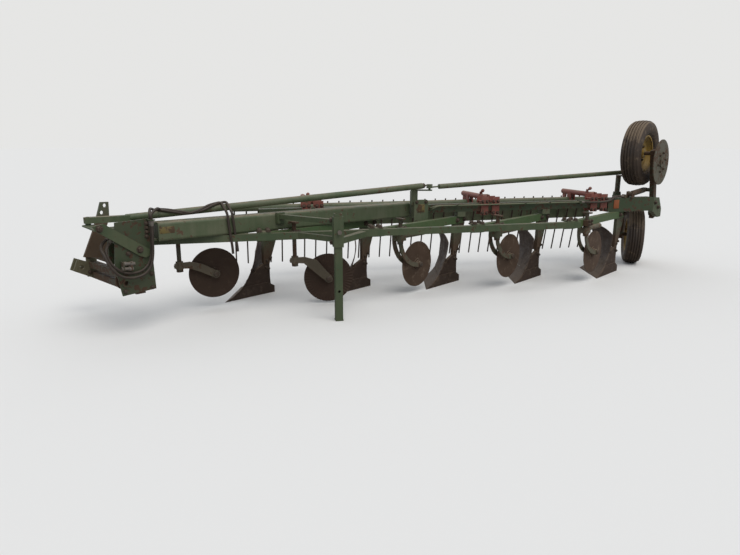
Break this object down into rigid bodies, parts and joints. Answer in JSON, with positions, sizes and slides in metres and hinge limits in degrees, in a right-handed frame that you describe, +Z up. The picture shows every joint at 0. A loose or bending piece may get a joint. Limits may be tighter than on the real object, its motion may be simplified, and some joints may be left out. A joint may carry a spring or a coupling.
{
  "type": "moldboard plough",
  "caption": "Semi-mounted right-hand moldboard plough with slanted frame, swinging coulters, jack stand, steered tail wheel, raised transport wheel and tined harrow bar.",
  "frame": {"origin": "on the ground, at the middle of the plough's outline seen from above", "axes": "+Y towards the tail wheel, against the direction of travel; +X towards the landside, the plough's left; +Z up"},
  "size_m": [3.2052, 6.2607, 1.7499],
  "materials": {
    "green_paint": "matt",
    "dark_paint": "matt",
    "red_paint": "matt",
    "yellow_paint": "matt",
    "bare_steel": "matt",
    "plated_steel": "satin",
    "tyre": "matt",
    "hose_rubber": "satin"
  },
  "bodies": {
    "frame": {"tongue": "green_paint", "front_rail": "green_paint", "rear_beam": "green_paint", "bottom_beams": "green_paint", "beam_clamps": "green_paint", "standards": "green_paint", "frogs": "bare_steel", "shares": "bare_steel", "moldboards": "bare_steel", "landsides": "bare_steel", "coulter_stems": "dark_paint", "outrigger": "green_paint", "pivot_cover": "green_paint", "tail_bearing": "green_paint", "lift_bracket": "green_paint", "cylinder_clevis": "green_paint", "harrow_brackets": "red_paint", "stand_bolt": "plated_steel", "tail_hose_1": "hose_rubber", "tail_hose_2": "hose_rubber"},
    "stand": {"stand_leg": "green_paint"},
    "hitch": {"headstock": "green_paint", "cross_tubes": "dark_paint", "link_block": "green_paint", "mast": "green_paint", "steering_arm": "green_paint", "hitch_hose_1": "hose_rubber", "hitch_hose_2": "hose_rubber"},
    "front_rod": {"front_rod": "green_paint"},
    "idler": {"idler": "green_paint"},
    "rear_rod": {"rear_rod": "green_paint"},
    "tail": {"tail_fork": "green_paint"},
    "tail_wheel": {"tail_rim": "yellow_paint", "tail_tyre": "tyre"},
    "lift_arm": {"lift_arm": "green_paint"},
    "lift_wheel": {"lift_rim": "yellow_paint", "lift_tyre": "tyre"},
    "gauge_wheel": {"gauge_disc": "bare_steel"},
    "cylinder_barrel": {"cylinder_barrel": "dark_paint"},
    "cylinder_rod": {"cylinder_rod": "plated_steel"},
    "harrow": {"harrow_bars": "green_paint", "harrow_tines": "bare_steel", "harrow_arms": "red_paint"},
    "coulter_arm_1": {"coulter_arm_1": "dark_paint"},
    "coulter_disc_1": {"coulter_disc_1": "bare_steel"},
    "coulter_arm_2": {"coulter_arm_2": "dark_paint"},
    "coulter_disc_2": {"coulter_disc_2": "bare_steel"},
    "coulter_arm_3": {"coulter_arm_3": "dark_paint"},
    "coulter_disc_3": {"coulter_disc_3": "bare_steel"},
    "coulter_arm_4": {"coulter_arm_4": "dark_paint"},
    "coulter_disc_4": {"coulter_disc_4": "bare_steel"},
    "coulter_arm_5": {"coulter_arm_5": "dark_paint"},
    "coulter_disc_5": {"coulter_disc_5": "bare_steel"}
  },
  "joints": [
    {"name": "stand_slide", "type": "slide", "parent": "frame", "child": "stand", "axis": [0, 0, 1], "range_m": [0, 0.4]},
    {"name": "hitch_swing", "type": "hinge", "parent": "frame", "child": "hitch", "pos_m": [-0.63937, -2.73835, 0.79], "axis": [0, 0, 1], "range_deg": [-20, 20]},
    {"name": "front_rod_turn", "type": "hinge", "parent": "hitch", "child": "front_rod", "pos_m": [-0.85137, -3.03435, 0.885], "axis": [0, 0, 1], "range_deg": [-20, 20]},
    {"name": "idler_turn", "type": "hinge", "parent": "frame", "child": "idler", "pos_m": [-0.02982, -0.02867, 1.007], "axis": [0, 0, 1], "range_deg": [-26, 26]},
    {"name": "rear_rod_turn", "type": "hinge", "parent": "idler", "child": "rear_rod", "pos_m": [0.10063, 0.06665, 1.038], "axis": [0, 0, 1], "range_deg": [-26, 26]},
    {"name": "tail_steer", "type": "hinge", "parent": "frame", "child": "tail", "pos_m": [1.06012, 2.68071, 0.792], "axis": [0, 0, 1], "range_deg": [-30, 30]},
    {"name": "tail_spin", "type": "hinge", "parent": "tail", "child": "tail_wheel", "pos_m": [1.26684, 2.78154, 0.36], "axis": [0.8988, 0.4384, 0], "continuous": true},
    {"name": "lift_swing", "type": "hinge", "parent": "frame", "child": "lift_arm", "pos_m": [1.48563, 2.74165, 0.66], "axis": [-1, 0, 0], "range_deg": [0, 40]},
    {"name": "lift_spin", "type": "hinge", "parent": "lift_arm", "child": "lift_wheel", "pos_m": [1.33063, 2.56165, 1.37], "axis": [1, 0, 0], "continuous": true},
    {"name": "gauge_spin", "type": "hinge", "parent": "lift_arm", "child": "gauge_wheel", "pos_m": [1.57563, 2.56165, 1.27], "axis": [1, 0, 0], "continuous": true},
    {"name": "cylinder_tilt", "type": "hinge", "parent": "frame", "child": "cylinder_barrel", "pos_m": [1.40563, 2.16951, 0.915], "axis": [1, 0, 0], "range_deg": [-3, 3]},
    {"name": "cylinder_stroke", "type": "slide", "parent": "cylinder_barrel", "child": "cylinder_rod", "axis": [0, 0.9985, 0.054], "range_m": [0, 0.21]},
    {"name": "harrow_lift", "type": "hinge", "parent": "frame", "child": "harrow", "pos_m": [-0.49954, -0.54446, 0.905], "axis": [0.5336, 0.8457, 0], "range_deg": [0, 30]},
    {"name": "castor_1", "type": "hinge", "parent": "frame", "child": "coulter_arm_1", "pos_m": [-0.80787, -2.31835, 0.45], "axis": [0, 0, 1], "range_deg": [-22, 58]},
    {"name": "coulter_spin_1", "type": "hinge", "parent": "coulter_arm_1", "child": "coulter_disc_1", "pos_m": [-0.74821, -2.01178, 0.33], "axis": [0.9511, -0.309, 0], "continuous": true},
    {"name": "castor_2", "type": "hinge", "parent": "frame", "child": "coulter_arm_2", "pos_m": [-0.26587, -1.45935, 0.45], "axis": [0, 0, 1], "range_deg": [-2, 78]},
    {"name": "coulter_spin_2", "type": "hinge", "parent": "coulter_arm_2", "child": "coulter_disc_2", "pos_m": [-0.10496, -1.19167, 0.25], "axis": [0.788, -0.6157, 0], "continuous": true},
    {"name": "castor_3", "type": "hinge", "parent": "frame", "child": "coulter_arm_3", "pos_m": [0.27613, -0.60035, 0.6], "axis": [0, 0, 1], "range_deg": [-40, 40]},
    {"name": "coulter_spin_3", "type": "hinge", "parent": "coulter_arm_3", "child": "coulter_disc_3", "pos_m": [0.23813, -0.29035, 0.295], "axis": [1, 0, 0], "continuous": true},
    {"name": "castor_4", "type": "hinge", "parent": "frame", "child": "coulter_arm_4", "pos_m": [0.81813, 0.25865, 0.6], "axis": [0, 0, 1], "range_deg": [-40, 40]},
    {"name": "coulter_spin_4", "type": "hinge", "parent": "coulter_arm_4", "child": "coulter_disc_4", "pos_m": [0.78013, 0.56865, 0.33], "axis": [1, 0, 0], "continuous": true},
    {"name": "castor_5", "type": "hinge", "parent": "frame", "child": "coulter_arm_5", "pos_m": [1.36013, 1.11765, 0.6], "axis": [0, 0, 1], "range_deg": [-40, 40]},
    {"name": "coulter_spin_5", "type": "hinge", "parent": "coulter_arm_5", "child": "coulter_disc_5", "pos_m": [1.32213, 1.42765, 0.33], "axis": [1, 0, 0], "continuous": true}
  ],
  "couplings": [
    {"joint": "front_rod_turn", "follows": "hitch_swing", "ratio": -0.9481},
    {"joint": "idler_turn", "follows": "hitch_swing", "ratio": -1.1837},
    {"joint": "rear_rod_turn", "follows": "hitch_swing", "ratio": 1.2174},
    {"joint": "tail_steer", "follows": "hitch_swing", "ratio": -0.8385},
    {"joint": "cylinder_tilt", "follows": "lift_swing", "ratio": -0.0127},
    {"joint": "cylinder_stroke", "follows": "lift_swing", "m_per_rad": 0.2947}
  ]
}
